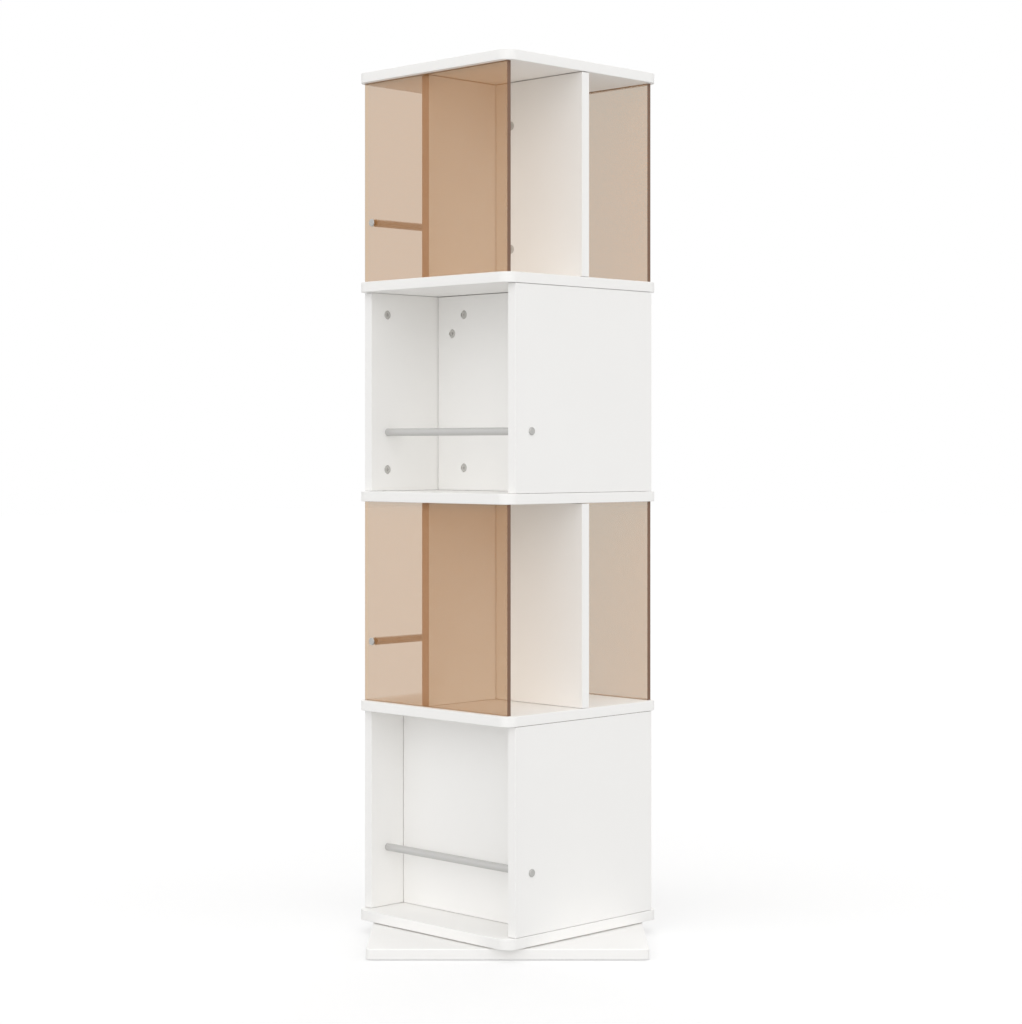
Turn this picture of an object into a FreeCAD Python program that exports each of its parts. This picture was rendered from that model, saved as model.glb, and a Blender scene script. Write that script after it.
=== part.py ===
import FreeCAD, Part
import math
import os

# Rotating display cabinet. Five square boards and four tiers of uprights, drawn together by cam locks,
# turn on a ball bearing let into a square base plate. Tiers 1 and 3 have white side panels and a wall
# across the middle. Tiers 2 and 4 have tinted panes front and back, with a divider and a partition.
# Millimetres, +Z up, origin on the floor under the turning axis. The front is -Y and the right is +X.

# Boards that lie flat
BOARD_SIDE = 340.0
BOARD_THICKNESS = 16.0
BOARD_CORNER_RADIUS = 20.0
TIER_HEIGHT = 314.5

# Upright panels
PANEL_THICKNESS = 16.0
SIDE_SETBACK = 1.0
SIDE_END_INSET = 18.0
DEEP_WALL_Y = 0.0
SHALLOW_WALL_Y = -76.0
DIVIDER_X = -27.0
DIVIDER_CLEARANCE = 0.5

# Tinted panes and the grooves that hold them
PANE_THICKNESS = 7.0
PANE_INSET = 10.0
PANE_TOP_ROOM = 1.0
GROOVE_DEPTH = 5.0
GROOVE_CLEARANCE = 0.2

# Rails, one in each tier, and the screws in their ends
RAIL_DIAMETER = 12.0
RAIL_HEIGHT = 93.5
RAIL_BEHIND_FRONT = 52.0
RAIL_BEHIND_LEFT = 27.0
RAIL_SCREW_DIAMETER = 4.0
RAIL_SCREW_GRIP = 14.0
RAIL_BORE_SPARE = 3.0
RAIL_HEAD_DIAMETER = 12.0
RAIL_HEAD_HEIGHT = 2.0

# Cam locks and their bolts
CAM_DIAMETER = 13.0
CAM_SETBACK = 34.0
CAM_SKIN = 3.5
CAM_RECESS = 0.3
CAM_CLEARANCE = 0.1
BOLT_DIAMETER = 6.0
BOLT_PAST_CAM = 2.0
BOLT_CLEARANCE = 0.3
THREAD_CLEARANCE = 0.1
BOARD_SKIN = 5.0
WALL_CAM_INSET = 61.0
WALL_CAM_LIFT = 2.5
WALL_END_CAM_DROP = 61.0
PARTITION_CAM_DROP = 69.0
PARTITION_CAM_RISE = 51.0

# Wooden dowels
DOWEL_DIAMETER = 8.0
DOWEL_IN_PANEL = 20.0
DOWEL_CLEARANCE = 0.1
DOWEL_END_ROOM = 1.0
PARTITION_DOWEL_INSET = 40.0

# Base plate and the pads under it
BASE_SIDE = 424.0
BASE_THICKNESS = 16.0
BASE_CORNER_RADIUS = 8.0
BASE_TURN = 45.0
PAD_SIDE = 30.0
PAD_THICKNESS = 1.5
PAD_INSET = 40.0
RUNNING_GAP = 2.0

# Ball bearing of the turntable
BALL_DIAMETER = 6.0
BALL_COUNT = 16
BALL_CIRCLE_RADIUS = 82.5
BALL_CLEARANCE = 0.1
RACE_GAP = 3.0
RING_STAGGER = 1.6
OUTER_RING_WIDTH = 16.0
INNER_RING_WIDTH = 21.0
CAGE_CLEARANCE = 0.3
POCKET_CLEARANCE = 0.5

# Small round pieces that repeat, and their holes, are drawn with flats
HEAD_FLATS = 8
SHANK_FLATS = 6

# Screws of the bearing rings
RING_SCREW_COUNT = 3
RING_SCREW_CLEARANCE = 0.1
BASE_SCREW_DIAMETER = 4.0
BASE_SCREW_HEAD_DIAMETER = 8.0
BASE_SCREW_HEAD_HEIGHT = 2.5
BASE_SCREW_BITE = 7.0
TURN_SCREW_DIAMETER = 5.0
TURN_SCREW_HEAD_DIAMETER = 10.0
TURN_SCREW_HEAD_HEIGHT = 3.0
TURN_SCREW_BITE = 6.0

# Levels
base_bottom = PAD_THICKNESS
base_top = base_bottom + BASE_THICKNESS
first_board_z = base_top + RUNNING_GAP
tier_pitch = BOARD_THICKNESS + TIER_HEIGHT

# Plan lines, measured from the turning axis
board_half = BOARD_SIDE / 2
side_outer = board_half - SIDE_SETBACK
side_inner = side_outer - PANEL_THICKNESS
side_half_depth = board_half - SIDE_END_INSET
pane_outer = board_half - PANE_INSET
pane_inner = pane_outer - PANE_THICKNESS
divider_left = DIVIDER_X - PANEL_THICKNESS / 2
divider_right = DIVIDER_X + PANEL_THICKNESS / 2
divider_half_depth = pane_inner - DIVIDER_CLEARANCE
panel_half = PANEL_THICKNESS / 2

BOARD_NAMES = ["bottom_board", "lower_board", "middle_board", "upper_board", "top_board"]
X = FreeCAD.Vector(1, 0, 0)
Y = FreeCAD.Vector(0, 1, 0)
Z = FreeCAD.Vector(0, 0, 1)

pieces = {}
drillings = {}


def add(node, solid):
    """Adds a solid to a node. A node of like fasteners holds several."""
    pieces.setdefault(node, []).append(solid)


def drill(node, cutter):
    """Notes a hole, groove or pocket that is cut from a node at the end."""
    drillings.setdefault(node, []).append(cutter)


def box(x_range, y_range, z_range):
    """Box between two values on each axis."""
    (x0, x1), (y0, y1), (z0, z1) = x_range, y_range, z_range
    return Part.makeBox(x1 - x0, y1 - y0, z1 - z0, FreeCAD.Vector(x0, y0, z0))


def turned(profile):
    """Solid turned from (radius, height) points about the Z axis."""
    wire = Part.makePolygon([FreeCAD.Vector(r, 0, z) for r, z in profile + profile[:1]])
    return Part.Face(wire).revolve(FreeCAD.Vector(0, 0, 0), Z, 360)


def rod(start, direction, diameter, length):
    """Plain round bar from a point along a direction."""
    return Part.makeCylinder(diameter / 2, length, start, direction)


def peg(start, direction, diameter, length, flats=SHANK_FLATS):
    """Bar with flats that lies inside the true round."""
    steps = [index * 2 * math.pi / flats for index in range(flats + 1)]
    corners = [FreeCAD.Vector(math.cos(a), math.sin(a), 0) * (diameter / 2) for a in steps]
    turn = FreeCAD.Placement(start, FreeCAD.Rotation(Z, direction))
    outline = Part.makePolygon([turn.multVec(corner) for corner in corners])
    return Part.Face(outline).extrude(direction * length)


def hole(start, direction, diameter, length, flats=SHANK_FLATS):
    """Cutter with flats that lies outside the true round."""
    return peg(start, direction, diameter / math.cos(math.pi / flats), length, flats)


def ball(centre):
    """Ball drawn with flats: a short bar with both ends chamfered, inside the true round."""
    corner_turn = math.pi / HEAD_FLATS
    waist = BALL_DIAMETER * math.cos(corner_turn)
    bar = peg(centre - Z * (waist / 2), Z, waist, waist, HEAD_FLATS)
    ends = [edge for edge in bar.Edges if edge.BoundBox.ZLength < BALL_CLEARANCE]
    return bar.makeChamfer(BALL_DIAMETER / 4, ends)


def screw(seat, direction, shank, head):
    """Screw whose head sits on seat and whose shank runs along direction, each (diameter, length)."""
    solid = peg(seat, direction * -1, *head, HEAD_FLATS)
    return solid.fuse(peg(seat, direction, *shank)).removeSplitter()


def rounded_plate(side, thickness, corner_radius, z):
    """Square plate about the Z axis with round corners."""
    half = side / 2
    plate = box((-half, half), (-half, half), (z, z + thickness))
    uprights = [e for e in plate.Edges if e.BoundBox.ZLength > thickness / 2]
    return plate.makeFillet(corner_radius, uprights)


def cam_joint(panel, board, cam_place, into_panel, towards_board, board_thickness, setback=CAM_SETBACK):
    """Cam lock in a panel's face and the bolt by which it draws the panel against a board."""
    cam_end = PANEL_THICKNESS - CAM_SKIN
    axis = cam_place + into_panel * panel_half
    seam = axis + towards_board * setback
    thread = board_thickness - BOARD_SKIN
    bolt_length = thread + setback + BOLT_PAST_CAM
    add("cam_bolts", peg(seam + towards_board * thread, towards_board * -1, BOLT_DIAMETER, bolt_length))

    bolt_room = BOLT_DIAMETER + 2 * BOLT_CLEARANCE
    across = into_panel.cross(towards_board) * bolt_room
    deeper = into_panel * PANEL_THICKNESS
    behind = BOLT_PAST_CAM + BOLT_CLEARANCE
    corner = axis - towards_board * behind - into_panel * (bolt_room / 2) - across / 2
    outline = Part.makePolygon([corner, corner + across, corner + across + deeper, corner + deeper, corner])
    mouth = Part.Face(outline).extrude(towards_board * (behind + CAM_DIAMETER))
    cam_start = cam_place + into_panel * CAM_RECESS
    cam = peg(cam_start, into_panel, CAM_DIAMETER, cam_end - CAM_RECESS, HEAD_FLATS)
    add("cam_locks", cam.cut(mouth))

    drill(panel, hole(cam_place, into_panel, CAM_DIAMETER + 2 * CAM_CLEARANCE, cam_end, HEAD_FLATS))
    drill(panel, hole(axis, towards_board, bolt_room, setback))
    drill(board, hole(seam, towards_board, BOLT_DIAMETER + 2 * THREAD_CLEARANCE, thread))


def dowel(panel, board, seam, into_board):
    """Wooden dowel across the seam between a panel's end and a board."""
    in_board = BOARD_THICKNESS - BOARD_SKIN
    length = in_board + DOWEL_IN_PANEL - DOWEL_END_ROOM
    add("wood_dowels", peg(seam + into_board * in_board, into_board * -1, DOWEL_DIAMETER, length))
    drill(board, hole(seam, into_board, DOWEL_DIAMETER + 2 * DOWEL_CLEARANCE, in_board))
    drill(panel, hole(seam, into_board * -1, DOWEL_DIAMETER + 2 * DOWEL_CLEARANCE, DOWEL_IN_PANEL))


def rail(node, start, direction, length, walls, wall_thickness):
    """Round rail between two walls, held by a screw through each wall into its end."""
    add(node, rod(start, direction, RAIL_DIAMETER, length))
    bore = RAIL_SCREW_DIAMETER + 2 * THREAD_CLEARANCE
    shank = (RAIL_SCREW_DIAMETER, wall_thickness + RAIL_SCREW_GRIP)
    head = (RAIL_HEAD_DIAMETER, RAIL_HEAD_HEIGHT)
    ends = [(start, direction), (start + direction * length, direction * -1)]
    for wall, (end, inward) in zip(walls, ends):
        seat = end - inward * wall_thickness
        add("rail_screws", screw(seat, inward, shank, head))
        drill(node, hole(end, inward, bore, RAIL_SCREW_GRIP + RAIL_BORE_SPARE))
        drill(wall, hole(seat, inward, bore, wall_thickness))


def tier_levels(tier):
    """Top of the board below a tier and underside of the board above it."""
    low = first_board_z + (tier - 1) * tier_pitch + BOARD_THICKNESS
    return low, low + TIER_HEIGHT


def tier_boards(tier):
    """Boards below and above a tier, with the level of the seam and the way into each board."""
    low, high = tier_levels(tier)
    return [(BOARD_NAMES[tier - 1], low, Z * -1), (BOARD_NAMES[tier], high, Z)]


def walled_tier(tier, wall_y, cams_in_front):
    """Tier with white side panels, a wall between them and a rail across the front."""
    low, high = tier_levels(tier)
    left, right, wall = (f"tier_{tier}_{name}" for name in ("left_panel", "right_panel", "wall"))
    depth = (-side_half_depth, side_half_depth)
    add(left, box((-side_outer, -side_inner), depth, (low, high)))
    add(right, box((side_inner, side_outer), depth, (low, high)))
    add(wall, box((-side_inner, side_inner), (wall_y - panel_half, wall_y + panel_half), (low, high)))

    back_cam_y = side_half_depth - CAM_SETBACK
    front_cam_y = -back_cam_y if cams_in_front else wall_y + panel_half + CAM_SETBACK
    face_side = -1 if cams_in_front else 1
    wall_face = wall_y + face_side * panel_half
    into_wall = Y * -face_side
    for board, seam_z, into_board in tier_boards(tier):
        cam_z = seam_z - into_board.z * CAM_SETBACK
        wall_setback = CAM_SETBACK - into_board.z * WALL_CAM_LIFT
        for panel, side in ((left, -1), (right, 1)):
            for y in (front_cam_y, back_cam_y):
                place = FreeCAD.Vector(side * side_inner, y, cam_z)
                cam_joint(panel, board, place, X * side, into_board, BOARD_THICKNESS)
            place = FreeCAD.Vector(side * (side_inner - WALL_CAM_INSET), wall_face, cam_z + WALL_CAM_LIFT)
            cam_joint(wall, board, place, into_wall, into_board, BOARD_THICKNESS, wall_setback)
    for panel, side in ((left, -1), (right, 1)):
        place = FreeCAD.Vector(side * (side_inner - CAM_SETBACK), wall_face, high - WALL_END_CAM_DROP)
        cam_joint(wall, panel, place, into_wall, X * side, PANEL_THICKNESS)

    rail_start = FreeCAD.Vector(-side_inner, RAIL_BEHIND_FRONT - board_half, low + RAIL_HEIGHT)
    rail(f"tier_{tier}_rail", rail_start, X, 2 * side_inner, (left, right), PANEL_THICKNESS)


def glazed_tier(tier, cams_in_front):
    """Tier with tinted panes front and back, a divider across, a partition and a rail on the left."""
    low, high = tier_levels(tier)
    names = ("front_pane", "back_pane", "divider", "partition")
    front, back, divider, partition = (f"tier_{tier}_{name}" for name in names)
    for pane, side in ((front, -1), (back, 1)):
        faces = sorted((side * pane_inner, side * pane_outer))
        sheet_z = (low - GROOVE_DEPTH, high + GROOVE_DEPTH - PANE_TOP_ROOM)
        add(pane, box((-pane_outer, pane_outer), faces, sheet_z))
        groove_x = (-pane_outer - GROOVE_CLEARANCE, pane_outer + GROOVE_CLEARANCE)
        groove_y = (faces[0] - GROOVE_CLEARANCE, faces[1] + GROOVE_CLEARANCE)
        drill(BOARD_NAMES[tier - 1], box(groove_x, groove_y, (low - GROOVE_DEPTH, low)))
        drill(BOARD_NAMES[tier], box(groove_x, groove_y, (high, high + GROOVE_DEPTH)))

    divider_depth = (-divider_half_depth, divider_half_depth)
    add(divider, box((divider_left, divider_right), divider_depth, (low, high)))
    add(partition, box((divider_right, side_outer), (-panel_half, panel_half), (low, high)))
    for board, seam_z, into_board in tier_boards(tier):
        for side in (-1, 1):
            y = side * (divider_half_depth - CAM_SETBACK)
            place = FreeCAD.Vector(divider_left, y, seam_z - into_board.z * CAM_SETBACK)
            cam_joint(divider, board, place, X, into_board, BOARD_THICKNESS)
        seam = FreeCAD.Vector(side_outer - PARTITION_DOWEL_INSET, 0, seam_z)
        dowel(partition, board, seam, into_board)

    face_side = -1 if cams_in_front else 1
    for cam_z in (low + PARTITION_CAM_RISE, high - PARTITION_CAM_DROP):
        place = FreeCAD.Vector(divider_right + CAM_SETBACK, face_side * panel_half, cam_z)
        cam_joint(partition, divider, place, Y * -face_side, X * -1, PANEL_THICKNESS)

    rail_start = FreeCAD.Vector(RAIL_BEHIND_LEFT - board_half, -pane_inner, low + RAIL_HEIGHT)
    rail(f"tier_{tier}_rail", rail_start, Y, 2 * pane_inner, (front, back), PANE_THICKNESS)


def boards():
    """The five boards, one above another."""
    for level, name in enumerate(BOARD_NAMES):
        z = first_board_z + level * tier_pitch
        add(name, rounded_plate(BOARD_SIDE, BOARD_THICKNESS, BOARD_CORNER_RADIUS, z))


def around(count, radius, z):
    """Points spaced evenly on a circle about the turning axis, the first between +X and +Y."""
    steps = [(index + 0.5) * 2 * math.pi / count for index in range(count)]
    return [FreeCAD.Vector(radius * math.cos(a), radius * math.sin(a), z) for a in steps]


def base():
    """Base plate turned against the cabinet, standing on four pads."""
    centre = FreeCAD.Vector(0, 0, 0)
    plate = rounded_plate(BASE_SIDE, BASE_THICKNESS, BASE_CORNER_RADIUS, base_bottom)
    add("base_plate", plate.rotated(centre, Z, BASE_TURN))
    far = BASE_SIDE / 2 - PAD_INSET + PAD_SIDE / 2
    pad = box((far - PAD_SIDE, far), (far - PAD_SIDE, far), (0, PAD_THICKNESS))
    for quarter in range(4):
        add("foot_pads", pad.rotated(centre, Z, BASE_TURN + quarter * 90))


def bearing():
    """Two rings with V races, and a caged row of balls between them."""
    race_reach = math.sqrt(2) * (BALL_DIAMETER / 2 + BALL_CLEARANCE)
    race_half_height = race_reach - RACE_GAP / 2
    centre_z = first_board_z - race_half_height - RING_STAGGER
    race_top = centre_z + race_half_height
    race_bottom = centre_z - race_half_height
    floor_z = race_bottom - RING_STAGGER
    outer_face = BALL_CIRCLE_RADIUS + RACE_GAP / 2
    inner_face = BALL_CIRCLE_RADIUS - RACE_GAP / 2
    outer_rim = outer_face + OUTER_RING_WIDTH
    inner_rim = inner_face - INNER_RING_WIDTH
    outer_profile = [
        (outer_rim, floor_z),
        (outer_face, floor_z),
        (outer_face, race_bottom),
        (BALL_CIRCLE_RADIUS + race_reach, centre_z),
        (outer_face, race_top),
        (outer_rim, race_top),
    ]
    inner_profile = [
        (inner_rim, first_board_z),
        (inner_face, first_board_z),
        (inner_face, race_top),
        (BALL_CIRCLE_RADIUS - race_reach, centre_z),
        (inner_face, race_bottom),
        (inner_rim, race_bottom),
    ]
    add("bearing_outer_ring", turned(outer_profile))
    add("bearing_inner_ring", turned(inner_profile))
    pocket_diameter = 2 * (outer_rim + POCKET_CLEARANCE)
    drill("base_plate", rod(FreeCAD.Vector(0, 0, floor_z), Z, pocket_diameter, BASE_THICKNESS))

    cage_foot = FreeCAD.Vector(0, 0, floor_z + CAGE_CLEARANCE)
    cage_height = first_board_z - floor_z - 2 * CAGE_CLEARANCE
    cage = peg(cage_foot, Z, 2 * (outer_face - CAGE_CLEARANCE), cage_height, BALL_COUNT)
    add("ball_cage", cage.cut(hole(cage_foot, Z, 2 * (inner_face + CAGE_CLEARANCE), cage_height, BALL_COUNT)))
    window_diameter = BALL_DIAMETER + 2 * BALL_CLEARANCE
    for place in around(BALL_COUNT, BALL_CIRCLE_RADIUS, centre_z):
        add("bearing_balls", ball(place))
        outward = FreeCAD.Vector(place.x, place.y, 0).normalize()
        drill("ball_cage", hole(place - outward * RACE_GAP, outward, window_diameter, 2 * RACE_GAP))

    base_screw_radius = (BALL_CIRCLE_RADIUS + race_reach + outer_rim) / 2
    base_seat = race_top - BASE_SCREW_HEAD_HEIGHT
    for place in around(RING_SCREW_COUNT, base_screw_radius, base_seat):
        shank = (BASE_SCREW_DIAMETER, base_seat - floor_z + BASE_SCREW_BITE)
        head = (BASE_SCREW_HEAD_DIAMETER, BASE_SCREW_HEAD_HEIGHT)
        ring_screw("base_screws", place, shank, head, ("bearing_outer_ring", "base_plate"))

    turn_screw_radius = (BALL_CIRCLE_RADIUS - race_reach + inner_rim) / 2
    turn_seat = first_board_z + BOARD_THICKNESS - TURN_SCREW_HEAD_HEIGHT
    for place in around(RING_SCREW_COUNT, turn_screw_radius, turn_seat):
        shank = (TURN_SCREW_DIAMETER, turn_seat - first_board_z + TURN_SCREW_BITE)
        head = (TURN_SCREW_HEAD_DIAMETER, TURN_SCREW_HEAD_HEIGHT)
        ring_screw("turntable_screws", place, shank, head, ("bottom_board", "bearing_inner_ring"))


def ring_screw(node, seat, shank, head, holders):
    """Screw driven downwards, its head let in flush with the first of the two pieces that it holds."""
    down = Z * -1
    room = 2 * RING_SCREW_CLEARANCE
    (diameter, length), (head_diameter, head_height) = shank, head
    add(node, screw(seat, down, shank, head))
    for holder in holders:
        drill(holder, hole(seat, down, diameter + room, length))
    drill(holders[0], hole(seat, Z, head_diameter + room, head_height, HEAD_FLATS))


base()
bearing()
boards()
walled_tier(1, SHALLOW_WALL_Y, cams_in_front=False)
glazed_tier(2, cams_in_front=False)
walled_tier(3, DEEP_WALL_Y, cams_in_front=True)
glazed_tier(4, cams_in_front=True)

os.makedirs("parts", exist_ok=True)
for name, solids in pieces.items():
    if name in drillings:
        solids = [solids[0].cut(drillings[name])]
    shape = solids[0] if len(solids) == 1 else Part.makeCompound(solids)
    shape.exportStep(f"parts/{name}.step")
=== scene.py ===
import math

import bpy
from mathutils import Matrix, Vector


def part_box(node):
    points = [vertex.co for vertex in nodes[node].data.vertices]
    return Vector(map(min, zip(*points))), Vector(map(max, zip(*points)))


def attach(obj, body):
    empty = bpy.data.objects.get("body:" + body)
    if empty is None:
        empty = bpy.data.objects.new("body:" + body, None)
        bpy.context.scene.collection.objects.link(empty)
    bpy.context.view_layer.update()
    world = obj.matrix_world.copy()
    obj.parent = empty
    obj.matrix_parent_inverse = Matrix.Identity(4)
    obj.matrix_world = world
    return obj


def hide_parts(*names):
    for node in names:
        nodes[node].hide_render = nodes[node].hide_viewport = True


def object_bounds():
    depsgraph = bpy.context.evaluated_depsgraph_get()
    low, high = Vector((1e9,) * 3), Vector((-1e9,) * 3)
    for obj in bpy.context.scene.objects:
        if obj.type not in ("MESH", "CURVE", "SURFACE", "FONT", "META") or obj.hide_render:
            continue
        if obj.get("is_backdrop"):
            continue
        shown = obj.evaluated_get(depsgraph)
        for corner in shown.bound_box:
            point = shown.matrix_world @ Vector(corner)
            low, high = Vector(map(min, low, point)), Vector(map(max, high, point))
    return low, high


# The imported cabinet. Every piece below takes its place and size from these solids, in metres.
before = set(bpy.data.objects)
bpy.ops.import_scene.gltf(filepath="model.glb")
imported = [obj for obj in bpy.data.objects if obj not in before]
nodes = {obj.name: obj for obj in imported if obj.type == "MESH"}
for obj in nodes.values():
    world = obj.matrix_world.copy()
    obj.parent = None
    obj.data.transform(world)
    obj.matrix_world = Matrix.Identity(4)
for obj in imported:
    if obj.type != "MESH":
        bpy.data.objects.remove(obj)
cad_low, cad_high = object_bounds()


# Rubber pads. Four squares cut from black sheet rubber and stuck under the base plate near its
# corners, so that the cabinet stands level and doesn't mark the floor.
MM = 0.001
PAD_SIDE = 30 * MM
PAD_EDGE = 0.4 * MM
BASE_TURN = math.radians(45)
SMOOTH_ANGLE = math.radians(40)
EDGE_MODE = (False, True, False)
UP = Vector((0, 0, 1))


def linear(colour):
    """Linear RGBA of an sRGB hex colour."""
    parts = [int(colour[start:start + 2], 16) / 255 for start in (1, 3, 5)]
    return [p / 12.92 if p <= 0.04045 else ((p + 0.055) / 1.055) ** 2.4 for p in parts] + [1.0]


def add_node(tree, kind, settings, inputs):
    """Adds a node with its settings. An input is a constant, or another node's output to link from."""
    made = tree.nodes.new(kind)
    for name, value in settings.items():
        setattr(made, name, value)
    for name, value in inputs.items():
        if isinstance(value, bpy.types.NodeSocket):
            tree.links.new(value, made.inputs[name])
        else:
            made.inputs[name].default_value = value
    return made


def new_material(name):
    """Empty node material, with its tree and the object coordinates that its patterns read."""
    material = bpy.data.materials.new(name)
    material.use_nodes = True
    tree = material.node_tree
    tree.nodes.clear()
    place = add_node(tree, "ShaderNodeTexCoord", {}, {}).outputs["Object"]
    return material, tree, place


def select_only(piece):
    """Makes one piece the selected and active object."""
    bpy.ops.object.select_all(action="DESELECT")
    piece.select_set(True)
    bpy.context.view_layer.objects.active = piece


def settle(piece):
    """Moves a piece's place, turn and scale into its mesh."""
    select_only(piece)
    bpy.ops.object.transform_apply(location=True, rotation=True, scale=True)


def set_name(piece, name):
    """Names a piece and its mesh."""
    piece.name = name
    piece.data.name = name


def start_box(name, low, high):
    """Box between two corners, with its place in its mesh."""
    bpy.ops.object.select_all(action="DESELECT")
    bpy.ops.mesh.primitive_cube_add(size=1, location=(low + high) / 2)
    piece = bpy.context.object
    set_name(piece, name)
    piece.scale = high - low
    settle(piece)
    return piece


def start_selection(piece, mode):
    """Makes a piece active with nothing selected in its mesh, ready to select points, edges or faces."""
    select_only(piece)
    bpy.context.tool_settings.mesh_select_mode = mode
    bpy.ops.object.mode_set(mode="EDIT")
    bpy.ops.mesh.select_all(action="DESELECT")
    bpy.ops.object.mode_set(mode="OBJECT")


def every_edge(a, b):
    """True for any edge between two points."""
    return True


def bevel_edges(piece, radius, segments, wanted):
    """Rounds the edges between two points for which wanted(point, point) holds."""
    start_selection(piece, EDGE_MODE)
    points = piece.data.vertices
    for edge in piece.data.edges:
        edge.select = wanted(*(points[index].co for index in edge.vertices))
    bpy.ops.object.mode_set(mode="EDIT")
    bpy.ops.mesh.bevel(offset=radius, segments=segments, profile=0.5, affect="EDGES")
    bpy.ops.object.mode_set(mode="OBJECT")


def join(pieces, name):
    """One object made of several."""
    select_only(pieces[0])
    for piece in pieces:
        piece.select_set(True)
    bpy.ops.object.join()
    set_name(pieces[0], name)
    return pieces[0]


def copy_to(piece, place, outward):
    """Copy of a piece made at the origin, moved to a place with its +Z turned outwards."""
    select_only(piece)
    bpy.ops.object.duplicate()
    copy = bpy.context.object
    copy.rotation_mode = "QUATERNION"
    copy.rotation_quaternion = UP.rotation_difference(Vector(outward))
    copy.location = place
    settle(copy)
    return copy


def smooth(piece):
    """Smooth bevels beside flat faces."""
    select_only(piece)
    bpy.ops.object.shade_smooth_by_angle(angle=SMOOTH_ANGLE)
    bpy.ops.object.modifier_add(type="WEIGHTED_NORMAL")
    piece.modifiers[-1].keep_sharp = True
    bpy.ops.object.modifier_apply(modifier=piece.modifiers[-1].name)


def on_circle(radius, turn, height):
    """Point on a circle about the turning axis."""
    return Vector((radius * math.cos(turn), radius * math.sin(turn), height))


pads_low, pads_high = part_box("foot_pads")
pad_reach = pads_high.x - PAD_SIDE / math.sqrt(2)
half = Vector((PAD_SIDE / 2, PAD_SIDE / 2, 0))
first_pad = start_box("pad", -half, half + UP * pads_high.z)
bevel_edges(first_pad, PAD_EDGE, segments=2, wanted=every_edge)
first_pad.rotation_euler.z = BASE_TURN
settle(first_pad)
pads = []
for quarter in range(4):
    pads.append(copy_to(first_pad, on_circle(pad_reach, quarter * math.pi / 2, 0), UP))
bpy.data.objects.remove(first_pad)
rubber_pads = join(pads, "rubber_pads")
smooth(rubber_pads)

# Cut sheet rubber: dull black, with the fine grain that its mould leaves.
sheet_rubber, tree, place = new_material("sheet_rubber")
grain = add_node(tree, "ShaderNodeTexNoise", {}, {
    "Vector": place,
    "Scale": 1 / (1.2 * MM),
    "Detail": 3.0,
})
pits = add_node(tree, "ShaderNodeBump", {}, {
    "Height": grain.outputs["Fac"],
    "Strength": 0.25,
    "Distance": 0.2 * MM,
})
rough = add_node(tree, "ShaderNodeMapRange", {}, {
    "Value": grain.outputs["Fac"],
    "To Min": 0.75,
    "To Max": 0.92,
})
shader = add_node(tree, "ShaderNodeBsdfPrincipled", {}, {
    "Base Color": linear("#2A2A2A"),
    "Roughness": rough.outputs["Result"],
    "Normal": pits.outputs["Normal"],
})
add_node(tree, "ShaderNodeOutputMaterial", {}, {"Surface": shader.outputs["BSDF"]})
rubber_pads.data.materials.append(sheet_rubber)
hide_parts("foot_pads")
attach(rubber_pads, "base")


# Base plate. A square of white faced board, turned 45 degrees against the cabinet, with small round
# corners, a softened upper rim and a nearly sharp lower one. A round pocket is milled in its top for
# the bearing.
BASE_SIDE = 424 * MM
BASE_CORNER = 8 * MM
BASE_EDGE = 2 * MM
GAP_EDGE = 0.3 * MM
POCKET_CLEARANCE = 0.5 * MM
LEVEL_SLACK = 0.01 * MM
CUT_OVERSHOOT = 1 * MM
ROUND_SIDES = 48
Z_AXIS = 2
FLAT = 0.99
FACE_INDEX = 0
BAND_INDEX = 1


def is_upright(a, b):
    """True for an edge that runs along Z."""
    return abs(a.z - b.z) > max(abs(a.x - b.x), abs(a.y - b.y))


def round_rims(piece, low, low_radius, high, high_radius):
    """Rounds the rims of a board's lower and upper faces."""
    for level, radius in ((low, low_radius), (high, high_radius)):
        bevel_edges(
            piece, radius, segments=4,
            wanted=lambda a, b: max(abs(a.z - level), abs(b.z - level)) < LEVEL_SLACK,
        )


def cut_out(piece, cutters):
    """Cuts other objects' shapes out of a piece and removes them."""
    cutter = join(cutters, "cutter")
    select_only(piece)
    bpy.ops.object.modifier_add(type="BOOLEAN")
    cut = piece.modifiers[-1]
    cut.operation = "DIFFERENCE"
    cut.solver = "EXACT"
    cut.object = cutter
    bpy.ops.object.modifier_apply(modifier=cut.name)
    bpy.data.objects.remove(cutter)


def round_cutter(place, outward, radius, depth):
    """Round cutter that starts just outside a place on a face and goes in against outward."""
    outward = Vector(outward)
    start = Vector(place) + outward * CUT_OVERSHOOT
    end = Vector(place) - outward * depth
    bpy.ops.object.select_all(action="DESELECT")
    bpy.ops.mesh.primitive_cylinder_add(
        vertices=ROUND_SIDES, radius=radius, depth=(start - end).length, location=(start + end) / 2
    )
    cutter = bpy.context.object
    cutter.rotation_mode = "QUATERNION"
    cutter.rotation_quaternion = UP.rotation_difference(outward)
    settle(cutter)
    return cutter


def face_board(piece, flat_axis):
    """Faces a board with melamine on its two flat sides, and with edge band on the rest."""
    piece.data.materials.append(white_melamine)
    piece.data.materials.append(white_edge_band)
    for polygon in piece.data.polygons:
        polygon.material_index = FACE_INDEX if abs(polygon.normal[flat_axis]) > FLAT else BAND_INDEX


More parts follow.
